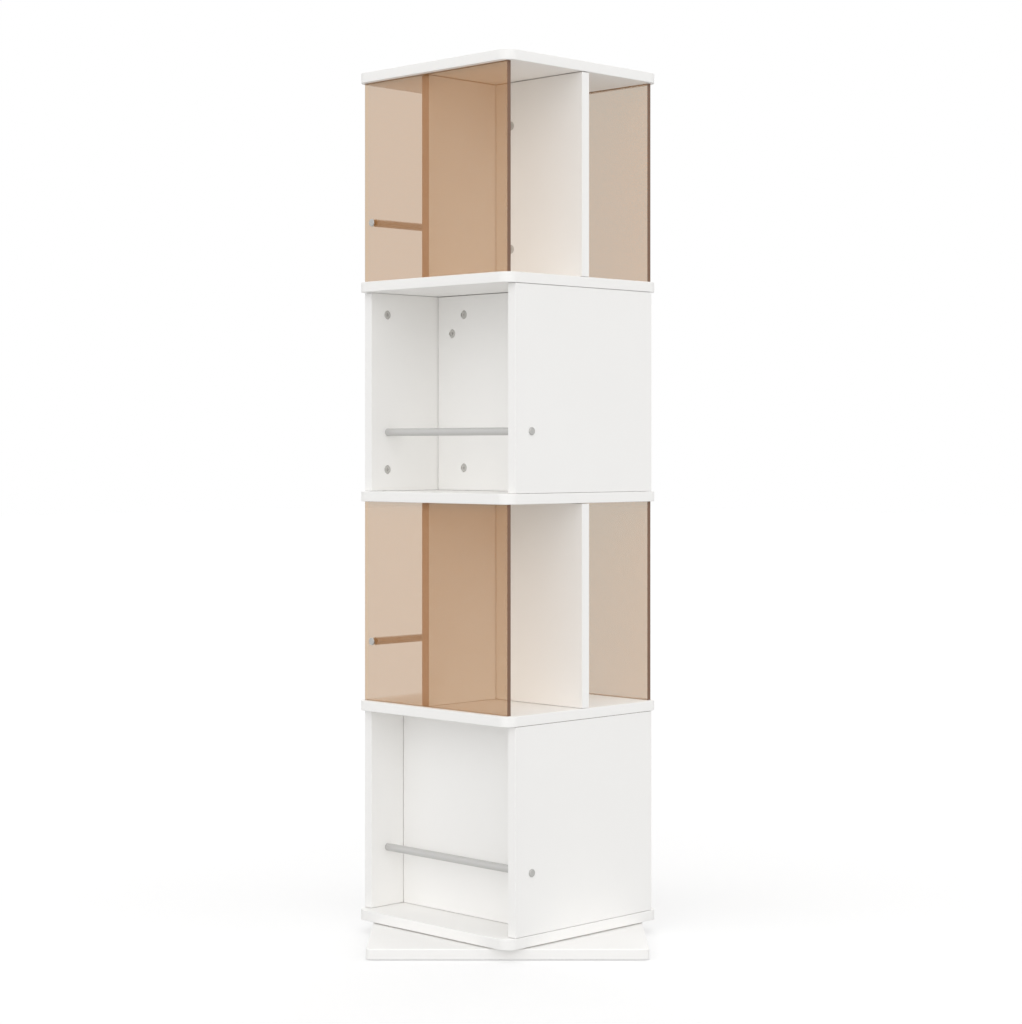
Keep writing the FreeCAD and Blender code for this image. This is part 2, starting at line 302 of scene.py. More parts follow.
# White melamine on chipboard: pressed against a satin plate, so it is smooth and even, with a faint
# orange peel that breaks up its sheen. The peel is drawn a few times coarser than it is, so that it shows.
white_melamine, tree, place = new_material("white_melamine")
cloud = add_node(tree, "ShaderNodeTexNoise", {}, {
    "Vector": place,
    "Scale": 1 / (140 * MM),
    "Detail": 2.0,
})
tone = add_node(tree, "ShaderNodeMix", {"data_type": "RGBA"}, {
    "Factor": cloud.outputs["Fac"],
    "A": linear("#F5F4F2"),
    "B": linear("#F8F7F5"),
})
peel = add_node(tree, "ShaderNodeTexNoise", {}, {
    "Vector": place,
    "Scale": 1 / (2.5 * MM),
    "Detail": 2.0,
})
relief = add_node(tree, "ShaderNodeBump", {}, {
    "Height": peel.outputs["Fac"],
    "Strength": 0.06,
    "Distance": 0.1 * MM,
})
rough = add_node(tree, "ShaderNodeMapRange", {}, {
    "Value": peel.outputs["Fac"],
    "To Min": 0.42,
    "To Max": 0.54,
})
shader = add_node(tree, "ShaderNodeBsdfPrincipled", {}, {
    "Base Color": tone.outputs["Result"],
    "Roughness": rough.outputs["Result"],
    "Normal": relief.outputs["Normal"],
})
add_node(tree, "ShaderNodeOutputMaterial", {}, {"Surface": shader.outputs["BSDF"]})

# White ABS edge band: extruded strip, hot glued on and trimmed, a touch smoother than the faces, with
# fine scraper marks along it.
white_edge_band, tree, place = new_material("white_abs_edge_band")
stretched = add_node(tree, "ShaderNodeMapping", {}, {"Vector": place, "Scale": (1.0, 1.0, 6.0)})
scrape = add_node(tree, "ShaderNodeTexNoise", {}, {
    "Vector": stretched.outputs["Vector"],
    "Scale": 1 / (9 * MM),
})
tone = add_node(tree, "ShaderNodeMix", {"data_type": "RGBA"}, {
    "Factor": scrape.outputs["Fac"],
    "A": linear("#F6F5F3"),
    "B": linear("#F8F7F5"),
})
rough = add_node(tree, "ShaderNodeMapRange", {}, {
    "Value": scrape.outputs["Fac"],
    "To Min": 0.36,
    "To Max": 0.48,
})
shader = add_node(tree, "ShaderNodeBsdfPrincipled", {}, {
    "Base Color": tone.outputs["Result"],
    "Roughness": rough.outputs["Result"],
})
add_node(tree, "ShaderNodeOutputMaterial", {}, {"Surface": shader.outputs["BSDF"]})

base_low, base_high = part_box("base_plate")
half = Vector((BASE_SIDE / 2, BASE_SIDE / 2, 0))
base_board = start_box("base_board", -half + UP * base_low.z, half + UP * base_high.z)
bevel_edges(base_board, BASE_CORNER, segments=12, wanted=is_upright)
round_rims(base_board, base_low.z, GAP_EDGE, base_high.z, BASE_EDGE)
base_board.rotation_euler.z = BASE_TURN
settle(base_board)
ring_low, ring_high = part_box("bearing_outer_ring")
pocket_radius = ring_high.x + POCKET_CLEARANCE
pocket_depth = base_high.z - ring_low.z
cut_out(base_board, [round_cutter(UP * base_high.z, UP, pocket_radius, pocket_depth)])
smooth(base_board)
face_board(base_board, Z_AXIS)
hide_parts("base_plate")
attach(base_board, "base")


# Turntable bearing. Two turned aluminium rings with facing races, a row of hard steel balls between
# them and a moulded cage that spaces the balls. The outer ring is screwed into the base plate.
BALL_SIZE = 6 * MM
BALL_COUNT = 16
BALL_CIRCLE = 82.5 * MM

# Turned aluminium: satin, with fine rings about the turning axis from the tool.
turned_aluminium, tree, place = new_material("turned_aluminium")
rings = add_node(tree, "ShaderNodeTexWave", {"wave_type": "RINGS", "rings_direction": "Z"}, {
    "Vector": place,
    "Scale": 1 / (3 * MM),
    "Distortion": 0.6,
})
groove = add_node(tree, "ShaderNodeBump", {}, {
    "Height": rings.outputs["Fac"],
    "Strength": 0.1,
    "Distance": 0.05 * MM,
})
rough = add_node(tree, "ShaderNodeMapRange", {}, {
    "Value": rings.outputs["Fac"],
    "To Min": 0.28,
    "To Max": 0.4,
})
shader = add_node(tree, "ShaderNodeBsdfPrincipled", {}, {
    "Base Color": linear("#CDCED0"),
    "Metallic": 1.0,
    "Roughness": rough.outputs["Result"],
    "Normal": groove.outputs["Normal"],
})
add_node(tree, "ShaderNodeOutputMaterial", {}, {"Surface": shader.outputs["BSDF"]})

# Ground steel: bright, with faint clouds where it was oiled.
ground_steel, tree, place = new_material("ground_steel")
oil = add_node(tree, "ShaderNodeTexNoise", {}, {"Vector": place, "Scale": 1 / (2 * MM)})
rough = add_node(tree, "ShaderNodeMapRange", {}, {
    "Value": oil.outputs["Fac"],
    "To Min": 0.16,
    "To Max": 0.3,
})
shader = add_node(tree, "ShaderNodeBsdfPrincipled", {}, {
    "Base Color": linear("#C9C9C8"),
    "Metallic": 1.0,
    "Roughness": rough.outputs["Result"],
})
add_node(tree, "ShaderNodeOutputMaterial", {}, {"Surface": shader.outputs["BSDF"]})

# Moulded nylon: natural off-white, slightly cloudy.
moulded_nylon, tree, place = new_material("moulded_nylon")
cloud = add_node(tree, "ShaderNodeTexNoise", {}, {"Vector": place, "Scale": 1 / (6 * MM)})
tone = add_node(tree, "ShaderNodeMix", {"data_type": "RGBA"}, {
    "Factor": cloud.outputs["Fac"],
    "A": linear("#DEDBD2"),
    "B": linear("#E8E5DD"),
})
shader = add_node(tree, "ShaderNodeBsdfPrincipled", {}, {
    "Base Color": tone.outputs["Result"],
    "Roughness": 0.45,
})
add_node(tree, "ShaderNodeOutputMaterial", {}, {"Surface": shader.outputs["BSDF"]})


def dress(node, material):
    """Gives a CAD node a finish."""
    nodes[node].data.materials.clear()
    nodes[node].data.materials.append(material)


for node, material in (
    ("bearing_outer_ring", turned_aluminium),
    ("bearing_inner_ring", turned_aluminium),
    ("ball_cage", moulded_nylon),
    ("base_screws", ground_steel),
):
    dress(node, material)

balls_low, balls_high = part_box("bearing_balls")
bpy.ops.object.select_all(action="DESELECT")
bpy.ops.mesh.primitive_uv_sphere_add(segments=24, ring_count=12, radius=BALL_SIZE / 2)
first_ball = bpy.context.object
balls = []
for index in range(BALL_COUNT):
    turn = (index + 0.5) * 2 * math.pi / BALL_COUNT
    centre = on_circle(BALL_CIRCLE, turn, (balls_low.z + balls_high.z) / 2)
    balls.append(copy_to(first_ball, centre, UP))
bpy.data.objects.remove(first_ball)
steel_balls = join(balls, "steel_balls")
select_only(steel_balls)
bpy.ops.object.shade_smooth()
steel_balls.data.materials.append(ground_steel)
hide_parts("bearing_balls")
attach(steel_balls, "ball_row")


# Turntable screws. Three flat-headed steel screws with cross recesses, driven down through the bottom
# board into the inner ring, their heads let in just under the board's face.
TURN_HEAD_RADIUS = 5 * MM
TURN_HEAD_HEIGHT = 2.7 * MM
TURN_HEAD_SINK = 0.3 * MM
TURN_HEAD_EDGE = 0.3 * MM
TURN_SHANK_RADIUS = 2.5 * MM
TURN_SCREW_COUNT = 3
CROSS_LENGTH = 5.6 * MM
CROSS_WIDTH = 1.2 * MM
CROSS_DEPTH = 1.4 * MM
FACE_MODE = (False, False, True)


def start_rod(name, radius, low, high, sides=ROUND_SIDES):
    """Round bar about the Z axis between two heights, with its place in its mesh."""
    bpy.ops.object.select_all(action="DESELECT")
    bpy.ops.mesh.primitive_cylinder_add(
        vertices=sides, radius=radius, depth=high - low, location=(0, 0, (low + high) / 2)
    )
    piece = bpy.context.object
    set_name(piece, name)
    settle(piece)
    return piece


def draw_out(piece, radius, inner_radius, length):
    """Draws a thinner shank down from the lower end of a round piece."""
    start_selection(piece, FACE_MODE)
    for polygon in piece.data.polygons:
        polygon.select = polygon.normal.z < -FLAT
    bpy.ops.object.mode_set(mode="EDIT")
    bpy.ops.mesh.inset(thickness=radius - inner_radius)
    bpy.ops.mesh.extrude_region_move(TRANSFORM_OT_translate={"value": (0, 0, -length)})
    bpy.ops.object.mode_set(mode="OBJECT")


def cut_cross(piece, top):
    """Cuts a cross recess into the top of a round piece."""
    reach = Vector((CROSS_LENGTH / 2, CROSS_WIDTH / 2, CROSS_DEPTH))
    middle = UP * top
    for half in (reach, reach.yxz):
        cut_out(piece, [start_box("arm", middle - half, middle + half)])


turn_low, turn_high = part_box("turntable_screws")
turn_circle = -turn_low.x - TURN_HEAD_RADIUS
turn_spots = []
for index in range(TURN_SCREW_COUNT):
    turn = (index + 0.5) * 2 * math.pi / TURN_SCREW_COUNT
    turn_spots.append(on_circle(turn_circle, turn, turn_high.z))
under_head = TURN_HEAD_SINK + TURN_HEAD_HEIGHT
first_screw = start_rod("screw", TURN_HEAD_RADIUS, -under_head, -TURN_HEAD_SINK)
draw_out(first_screw, TURN_HEAD_RADIUS, TURN_SHANK_RADIUS, turn_high.z - turn_low.z - under_head)
bevel_edges(
    first_screw, TURN_HEAD_EDGE, segments=2,
    wanted=lambda a, b: min(a.z, b.z) > -TURN_HEAD_SINK - LEVEL_SLACK,
)
cut_cross(first_screw, -TURN_HEAD_SINK)
smooth(first_screw)
turn_screws = [copy_to(first_screw, spot, UP) for spot in turn_spots]
steel_screws = join(turn_screws, "steel_turntable_screws")
bpy.data.objects.remove(first_screw)
steel_screws.data.materials.append(ground_steel)
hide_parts("turntable_screws")
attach(steel_screws, "carousel")


# Boards. Five squares of white faced board with round corners and rims that the trimmer rounds over,
# alike but for the grooves milled into them for the panes. The bottom board is counterbored for the
# turntable screws, and its lower rim, close above the base plate, is left nearly sharp.
BOARD_CORNER = 20 * MM
BOARD_EDGE = 1.2 * MM
GROOVE_DEPTH = 5 * MM
GROOVE_CLEARANCE = 0.2 * MM
TURN_ROOM = 0.2 * MM
BOARD_NAMES = ("bottom_board", "lower_board", "middle_board", "upper_board", "top_board")
GLAZED_TIERS = (2, 4)
WALLED_TIERS = (1, 3)
PANES = [f"tier_{tier}_{side}_pane" for tier in GLAZED_TIERS for side in ("front", "back")]

for name in BOARD_NAMES:
    low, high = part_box(name)
    board = start_box(f"white_{name}", low, high)
    bevel_edges(board, BOARD_CORNER, segments=20, wanted=is_upright)
    round_rims(board, low.z, GAP_EDGE if name == "bottom_board" else BOARD_EDGE, high.z, BOARD_EDGE)
    grooves = []
    for pane in PANES:
        pane_low, pane_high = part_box(pane)
        room = Vector((GROOVE_CLEARANCE, GROOVE_CLEARANCE, 0))
        for seam, inside in ((high.z, pane_low.z), (low.z, pane_high.z)):
            if low.z < inside < high.z:
                depth = GROOVE_DEPTH if seam == high.z else -GROOVE_DEPTH
                levels = sorted((seam - depth, seam + depth))
                groove_low = Vector((pane_low.x, pane_low.y, levels[0])) - room
                groove_high = Vector((pane_high.x, pane_high.y, levels[1])) + room
                grooves.append(start_box("groove", groove_low, groove_high))
    if name == "bottom_board":
        for spot in turn_spots:
            grooves.append(round_cutter(spot, UP, TURN_HEAD_RADIUS + TURN_ROOM, under_head))
    cut_out(board, grooves)
    smooth(board)
    face_board(board, Z_AXIS)
    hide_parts(name)
    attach(board, "carousel")


# Cam locks. Die-cast zinc drums, pressed into blind holes in the panels and turned with a cross
# screwdriver to draw the panels against each other. They end just below the panel's face.
CAM_RADIUS = 6.5 * MM
CAM_HOLE_RADIUS = 6.8 * MM
CAM_HOLE_DEPTH = 12.5 * MM
CAM_RECESS = 0.3 * MM
CAM_RIM = 0.5 * MM
CAM_SETBACK = 34 * MM
WALL_CAM_INSET = 61 * MM
WALL_CAM_LIFT = 2.5 * MM
WALL_END_CAM_DROP = 61 * MM
PARTITION_CAM_DROP = 69 * MM
PARTITION_CAM_RISE = 51 * MM


def is_level(a, b):
    """True for an edge that runs across Z."""
    return a.z == b.z


cams = {}
for tier in WALLED_TIERS:
    wall_low, wall_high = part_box(f"tier_{tier}_wall")
    levels = (wall_low.z + CAM_SETBACK, wall_high.z - CAM_SETBACK)
    in_front = tier == WALLED_TIERS[1]
    face_y = wall_low.y if in_front else wall_high.y
    outward = (0, -1, 0) if in_front else (0, 1, 0)
    on_wall = cams.setdefault(f"tier_{tier}_wall", [])
    for side, end_x in ((-1, wall_low.x), (1, wall_high.x)):
        panel = f"tier_{tier}_" + ("left_panel" if side < 0 else "right_panel")
        back_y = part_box(panel)[1].y - CAM_SETBACK
        front_y = -back_y if in_front else wall_high.y + CAM_SETBACK
        cams[panel] = [((end_x, y, z), (-side, 0, 0)) for y in (front_y, back_y) for z in levels]
        for z in levels:
            on_wall.append(((end_x - side * WALL_CAM_INSET, face_y, z + WALL_CAM_LIFT), outward))
        on_wall.append(((end_x - side * CAM_SETBACK, face_y, wall_high.z - WALL_END_CAM_DROP), outward))
for tier in GLAZED_TIERS:
    low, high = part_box(f"tier_{tier}_divider")
    cams[f"tier_{tier}_divider"] = [
        ((low.x, side * (high.y - CAM_SETBACK), z), (-1, 0, 0))
        for side in (-1, 1)
        for z in (low.z + CAM_SETBACK, high.z - CAM_SETBACK)
    ]
    low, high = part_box(f"tier_{tier}_partition")
    in_front = tier == GLAZED_TIERS[1]
    face_y = low.y if in_front else high.y
    outward = (0, -1, 0) if in_front else (0, 1, 0)
    cams[f"tier_{tier}_partition"] = [
        ((low.x + CAM_SETBACK, face_y, z), outward)
        for z in (low.z + PARTITION_CAM_RISE, high.z - PARTITION_CAM_DROP)
    ]

first_cam = start_rod("cam", CAM_RADIUS, -CAM_HOLE_DEPTH, -CAM_RECESS)
bevel_edges(first_cam, CAM_RIM, segments=3, wanted=is_level)
cut_cross(first_cam, -CAM_RECESS)
smooth(first_cam)
cam_copies = [copy_to(first_cam, *spot) for spots in cams.values() for spot in spots]
zinc_cams = join(cam_copies, "zinc_cam_locks")
bpy.data.objects.remove(first_cam)

# Die-cast zinc: dull grey, a little uneven from the mould.
die_cast_zinc, tree, place = new_material("die_cast_zinc")
skin = add_node(tree, "ShaderNodeTexNoise", {}, {
    "Vector": place,
    "Scale": 1 / (1.5 * MM),
    "Detail": 4.0,
})
tone = add_node(tree, "ShaderNodeMix", {"data_type": "RGBA"}, {
    "Factor": skin.outputs["Fac"],
    "A": linear("#BFBDB9"),
    "B": linear("#CBC9C5"),
})
rough = add_node(tree, "ShaderNodeMapRange", {}, {
    "Value": skin.outputs["Fac"],
    "To Min": 0.4,
    "To Max": 0.6,
})
shader = add_node(tree, "ShaderNodeBsdfPrincipled", {}, {
    "Base Color": tone.outputs["Result"],
    "Metallic": 0.25,
    "Roughness": rough.outputs["Result"],
})
add_node(tree, "ShaderNodeOutputMaterial", {}, {"Surface": shader.outputs["BSDF"]})
zinc_cams.data.materials.append(die_cast_zinc)
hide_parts("cam_locks")
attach(zinc_cams, "carousel")


# Uprights. Side panels, walls, dividers and partitions of the same white faced board, with banded
# edges that are barely rounded, drilled on their inner faces for the cam locks. Ends that butt against
# a board or panel stay raw, and the dividers' ends against the panes carry a grey painted shade.
UPRIGHT_EDGE = 0.4 * MM
SEAM = 0.45 * MM
INNER_TOP_SEAM = 0.9 * MM
END_SEAM = 0.6 * MM
X_AXIS = 0
Y_AXIS = 1
FACING = 0.9
RAW_INDEX = 2
END_SHADE_INDEX = 3
FLAT_AXES = {
    "left_panel": X_AXIS,
    "right_panel": X_AXIS,
    "wall": Y_AXIS,
    "divider": X_AXIS,
    "partition": Y_AXIS,
}
TOP_SEAMS = {"wall": INNER_TOP_SEAM, "divider": INNER_TOP_SEAM, "partition": INNER_TOP_SEAM}
END_SEAMS = {"wall": (END_SEAM, END_SEAM), "partition": (END_SEAM, 0)}

# Grey painted shade: a darker, slightly blotchy grey on the ends that stand against a pane, standing in for
# the shade in the narrow gap there; no band shows on these ends.
grey_painted_shade, tree, place = new_material("grey_painted_shade")
blotch = add_node(tree, "ShaderNodeTexNoise", {}, {
    "Vector": place,
    "Scale": 1 / (12 * MM),
    "Detail": 3.0,
})
tone = add_node(tree, "ShaderNodeMix", {"data_type": "RGBA"}, {
    "Factor": blotch.outputs["Fac"],
    "A": linear("#CEC5C4"),
    "B": linear("#D6CDCC"),
})
shader = add_node(tree, "ShaderNodeBsdfPrincipled", {}, {
    "Base Color": tone.outputs["Result"],
    "Roughness": 0.7,
})
add_node(tree, "ShaderNodeOutputMaterial", {}, {"Surface": shader.outputs["BSDF"]})

# Sawn chipboard: brown, with paler flakes of pressed wood. It shows as a thin brown line in the joints.
sawn_chipboard, tree, place = new_material("sawn_chipboard")
flakes = add_node(tree, "ShaderNodeTexVoronoi", {}, {"Vector": place, "Scale": 1 / (2 * MM)})
tone = add_node(tree, "ShaderNodeMix", {"data_type": "RGBA"}, {
    "Factor": flakes.outputs["Distance"],
    "A": linear("#7A5A3E"),
    "B": linear("#4E3826"),
})
shader = add_node(tree, "ShaderNodeBsdfPrincipled", {}, {
    "Base Color": tone.outputs["Result"],
    "Roughness": 0.85,
})
add_node(tree, "ShaderNodeOutputMaterial", {}, {"Surface": shader.outputs["BSDF"]})

for name, spots in cams.items():
    low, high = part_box(name)
    kind = name.split("_", 2)[2]
    seam_low, seam_high = END_SEAMS.get(kind, (0, 0))
    seam_top = TOP_SEAMS.get(kind, SEAM)
    foot = low + Vector((seam_low, 0, SEAM))
    head = high - Vector((seam_high, 0, seam_top))
    upright = start_box(f"white_{name}", foot, head)
    bevel_edges(upright, UPRIGHT_EDGE, segments=3, wanted=every_edge)
    cut_out(upright, [round_cutter(at, outward, CAM_HOLE_RADIUS, CAM_HOLE_DEPTH) for at, outward in spots])
    smooth(upright)
    face_board(upright, FLAT_AXES[kind])
    upright.data.materials.append(sawn_chipboard)
    upright.data.materials.append(grey_painted_shade)
    for polygon in upright.data.polygons:
        butts_up = abs(polygon.normal.z) > FACING
        butts_low = seam_low and polygon.normal.x < -FACING
        butts_high = seam_high and polygon.normal.x > FACING
        if butts_up or butts_low or butts_high:
            polygon.material_index = RAW_INDEX
        # The dividers' ends against the panes get the grey painted shade.
        elif kind == "divider" and abs(polygon.normal.y) > FACING:
            polygon.material_index = END_SHADE_INDEX
    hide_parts(name)
    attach(upright, "carousel")


# Rails. Lengths of grey lacquered aluminium bar that keep folders from sliding out, one across the
# open side of each tier, butted between two walls and drilled at both ends for their screws.
RAIL_END = 0.4 * MM
RAIL_GAP = 0.2 * MM
RAIL_BORE_RADIUS = 2.1 * MM
RAIL_BORE_DEPTH = 17 * MM
RAIL_SIDES = 64

first_rails = {}
rails = []
rail_ends = []
for tier in WALLED_TIERS + GLAZED_TIERS:
    low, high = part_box(f"tier_{tier}_rail")
    size = high - low
    along = Vector((1, 0, 0)) if size.x > size.y else Vector((0, 1, 0))
    length = size.dot(along)
    walled = tier in WALLED_TIERS
    if walled not in first_rails:
        rail = start_rod("rail", size.z / 2, RAIL_GAP - length / 2, length / 2 - RAIL_GAP, RAIL_SIDES)
        bevel_edges(rail, RAIL_END, segments=2, wanted=is_level)
        bores = []
        for out in (-UP, UP):
            bores.append(round_cutter(out * length / 2, out, RAIL_BORE_RADIUS, RAIL_BORE_DEPTH))
        cut_out(rail, bores)
        smooth(rail)
        first_rails[walled] = rail
    middle = (low + high) / 2
    rails.append(copy_to(first_rails[walled], middle, along))
    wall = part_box(f"tier_{tier}_left_panel" if tier in WALLED_TIERS else f"tier_{tier}_front_pane")
    thickness = abs((wall[1] - wall[0]).dot(along))
    for out in (-along, along):
        rail_ends.append((middle + out * (length / 2 + thickness), out, thickness))
for rail in first_rails.values():
    bpy.data.objects.remove(rail)
grey_rails = join(rails, "grey_rails")

# Lacquered aluminium: an even satin grey with a little metal flake in it, so it shades softly and
# shows hardly any reflection.
grey_lacquer, tree, place = new_material("grey_lacquered_aluminium")
flake = add_node(tree, "ShaderNodeTexNoise", {}, {
    "Vector": place,
    "Scale": 1 / (1.2 * MM),
    "Detail": 3.0,
})
tone = add_node(tree, "ShaderNodeMix", {"data_type": "RGBA"}, {
    "Factor": flake.outputs["Fac"],
    "A": linear("#C0BFBD"),
    "B": linear("#C8C7C5"),
})
rough = add_node(tree, "ShaderNodeMapRange", {}, {
    "Value": flake.outputs["Fac"],
    "To Min": 0.4,
    "To Max": 0.52,
})
shader = add_node(tree, "ShaderNodeBsdfPrincipled", {}, {
    "Base Color": tone.outputs["Result"],
    "Metallic": 0.2,
    "Roughness": rough.outputs["Result"],
})
add_node(tree, "ShaderNodeOutputMaterial", {}, {"Surface": shader.outputs["BSDF"]})
grey_rails.data.materials.append(grey_lacquer)
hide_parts(*(f"tier_{tier}_rail" for tier in WALLED_TIERS + GLAZED_TIERS))
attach(grey_rails, "carousel")


# Rail screws. Low domed heads of zinc-plated steel, seated on the outside of the panels and panes,
# with shanks that run through them into the ends of the rails.
HEAD_RADIUS = 6 * MM
HEAD_HEIGHT = 2 * MM
HEAD_ROUND = 1.3 * MM
HEAD_GAP = 0.1 * MM
SHANK_RADIUS = 2 * MM
SHANK_GRIP = 14 * MM

first_screws = {}
screws = []
for seat, outward, thickness in rail_ends:
    if thickness not in first_screws:
        screw = start_rod("screw", HEAD_RADIUS, HEAD_GAP, HEAD_HEIGHT)
        bevel_edges(screw, HEAD_ROUND, segments=6, wanted=lambda a, b: min(a.z, b.z) > HEAD_HEIGHT / 2)
        draw_out(screw, HEAD_RADIUS, SHANK_RADIUS, HEAD_GAP + thickness + SHANK_GRIP)
        smooth(screw)
        first_screws[thickness] = screw
    screws.append(copy_to(first_screws[thickness], seat, outward))
for screw in first_screws.values():
    bpy.data.objects.remove(screw)
head_screws = join(screws, "zinc_plated_rail_screws")

# Zinc-plated steel: pale satin grey with a slight mottle from the bath.
zinc_plate, tree, place = new_material("zinc_plated_steel")
mottle = add_node(tree, "ShaderNodeTexNoise", {}, {
    "Vector": place,
    "Scale": 1 / (1.8 * MM),
    "Detail": 3.0,
})
tone = add_node(tree, "ShaderNodeMix", {"data_type": "RGBA"}, {
    "Factor": mottle.outputs["Fac"],
    "A": linear("#B0AFAC"),
    "B": linear("#BAB9B6"),
})
rough = add_node(tree, "ShaderNodeMapRange", {}, {
    "Value": mottle.outputs["Fac"],
    "To Min": 0.34,
    "To Max": 0.5,
})
shader = add_node(tree, "ShaderNodeBsdfPrincipled", {}, {
    "Base Color": tone.outputs["Result"],
    "Metallic": 0.5,
    "Roughness": rough.outputs["Result"],
})
add_node(tree, "ShaderNodeOutputMaterial", {}, {"Surface": shader.outputs["BSDF"]})
head_screws.data.materials.append(zinc_plate)
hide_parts("rail_screws")
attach(head_screws, "carousel")


# Panes. Sheets of bronze tinted acrylic, cut and polished, slid into the grooves of the boards above
# and below, and drilled for the rail screws.
PANE_EDGE = 0.5 * MM
PANE_HOLE_RADIUS = 2.3 * MM
PIGMENT_SHARE = 0.34
ACRYLIC_IOR = 1.49
SHEET_INDEX = 0
SAWN_INDEX = 1

# Cast bronze acrylic: glossy, with a brown pigment that catches the light and leaves the rest clear.
# Light that falls through it onto the shelves arrives as a warm, light shadow.
bronze_acrylic, tree, place = new_material("bronze_tinted_acrylic")
wear = add_node(tree, "ShaderNodeTexNoise", {}, {
    "Vector": place,
    "Scale": 1 / (60 * MM),
    "Detail": 2.0,
})
rough = add_node(tree, "ShaderNodeMapRange", {}, {
    "Value": wear.outputs["Fac"],
    "To Min": 0.0,
    "To Max": 0.015,
})
pigment = add_node(tree, "ShaderNodeBsdfPrincipled", {}, {
    "Base Color": linear("#B36E1C"),
    "Roughness": rough.outputs["Result"],
    "IOR": ACRYLIC_IOR,
    "Specular IOR Level": 0.2,
})
clear = add_node(tree, "ShaderNodeBsdfTransparent", {}, {"Color": linear("#FEFEF8")})
sheet = add_node(tree, "ShaderNodeMixShader", {}, {
    0: PIGMENT_SHARE,
    1: clear.outputs["BSDF"],
    2: pigment.outputs["BSDF"],
})
warmth = add_node(tree, "ShaderNodeBsdfTransparent", {}, {"Color": linear("#EEE5DC")})
path = add_node(tree, "ShaderNodeLightPath", {}, {})
surface = sheet.outputs["Shader"]
for ray in ("Is Diffuse Ray", "Is Shadow Ray"):
    mixed = add_node(tree, "ShaderNodeMixShader", {}, {
        0: path.outputs[ray],
        1: surface,
        2: warmth.outputs["BSDF"],
    })
    surface = mixed.outputs["Shader"]
add_node(tree, "ShaderNodeOutputMaterial", {}, {"Surface": surface})

# Sawn acrylic edge: the tint gathers along the sheet, so the edge is a dull dark brown, with saw marks.
# From inside the sheet it mirrors the clear acrylic, so it hardly shows there.
sawn_acrylic, tree, place = new_material("bronze_acrylic_sawn_edge")
stroke = add_node(tree, "ShaderNodeMapping", {}, {"Vector": place, "Scale": (0.2, 0.2, 1.0)})
marks = add_node(tree, "ShaderNodeTexNoise", {}, {
    "Vector": stroke.outputs["Vector"],
    "Scale": 1 / (2 * MM),
    "Detail": 2.0,
})
tone = add_node(tree, "ShaderNodeMix", {"data_type": "RGBA"}, {
    "Factor": marks.outputs["Fac"],
    "A": linear("#6E503C"),
    "B": linear("#7C5C46"),
})
rough = add_node(tree, "ShaderNodeMapRange", {}, {
    "Value": marks.outputs["Fac"],
    "To Min": 0.3,
    "To Max": 0.5,
})
shader = add_node(tree, "ShaderNodeBsdfPrincipled", {}, {
    "Base Color": tone.outputs["Result"],
    "Roughness": rough.outputs["Result"],
    "IOR": ACRYLIC_IOR,
})
side = add_node(tree, "ShaderNodeNewGeometry", {}, {})
mirrored = add_node(tree, "ShaderNodeBsdfTransparent", {}, {"Color": linear("#E4D9CB")})
shader = add_node(tree, "ShaderNodeMixShader", {}, {
    0: side.outputs["Backfacing"],
    1: shader.outputs["BSDF"],
    2: mirrored.outputs["BSDF"],
})
add_node(tree, "ShaderNodeOutputMaterial", {}, {"Surface": shader.outputs["Shader"]})

for name in PANES:
    low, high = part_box(name)
    pane = start_box(f"bronze_{name}", low, high)
    bevel_edges(pane, PANE_EDGE, segments=2, wanted=every_edge)
    holes = []
    for seat, outward, thickness in rail_ends:
        inside = seat - outward * thickness / 2
        if all(low[axis] < inside[axis] < high[axis] for axis in (X_AXIS, Y_AXIS, Z_AXIS)):
            holes.append(round_cutter(seat, outward, PANE_HOLE_RADIUS, thickness + CUT_OVERSHOOT))
    cut_out(pane, holes)
    smooth(pane)
    pane.data.materials.append(bronze_acrylic)
    pane.data.materials.append(sawn_acrylic)
    for polygon in pane.data.polygons:
        centre = polygon.center
        inward = [min(centre[axis] - low[axis], high[axis] - centre[axis]) for axis in (X_AXIS, Z_AXIS)]
        polygon.material_index = SAWN_INDEX if min(inward) < PANE_EDGE else SHEET_INDEX
    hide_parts(name)
    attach(pane, "carousel")


# Hidden fixings. Steel bolts, screwed into the boards and panels, on whose heads the cam locks draw,
# and turned beech dowels that locate the partitions' free ends. Their solids stay, with a finish.

# Turned beech: pale brown with short darker flecks along the grain.
turned_beech, tree, place = new_material("turned_beech")
fibres = add_node(tree, "ShaderNodeMapping", {}, {"Vector": place, "Scale": (1.0, 1.0, 0.1)})
fleck = add_node(tree, "ShaderNodeTexNoise", {}, {
    "Vector": fibres.outputs["Vector"],
    "Scale": 1 / MM,
    "Detail": 3.0,
})
tone = add_node(tree, "ShaderNodeMix", {"data_type": "RGBA"}, {
    "Factor": fleck.outputs["Fac"],
    "A": linear("#B98F63"),
    "B": linear("#D8B488"),
})
shader = add_node(tree, "ShaderNodeBsdfPrincipled", {}, {
    "Base Color": tone.outputs["Result"],
    "Roughness": 0.65,
})
add_node(tree, "ShaderNodeOutputMaterial", {}, {"Surface": shader.outputs["BSDF"]})
dress("wood_dowels", turned_beech)
dress("cam_bolts", ground_steel)


# Studio. A pale floor that keeps the cabinet's shadow, a white surround, and wide soft lamps: three
# round the front, one overhead and one behind.
FLOOR_SIDE = 40.0
FLOOR_LIFT = 0.395
SKY_LEVEL = 0.47
LAMP_SPREAD = math.radians(60)
LIGHT_BOUNCES = 10

# Each lamp's azimuth and elevation in degrees, and its strength.
LAMPS = ((-15, 25, 0.6), (45, 20, 0.84), (105, 25, 0.61), (45, 80, 0.55), (225, 40, 0.6))


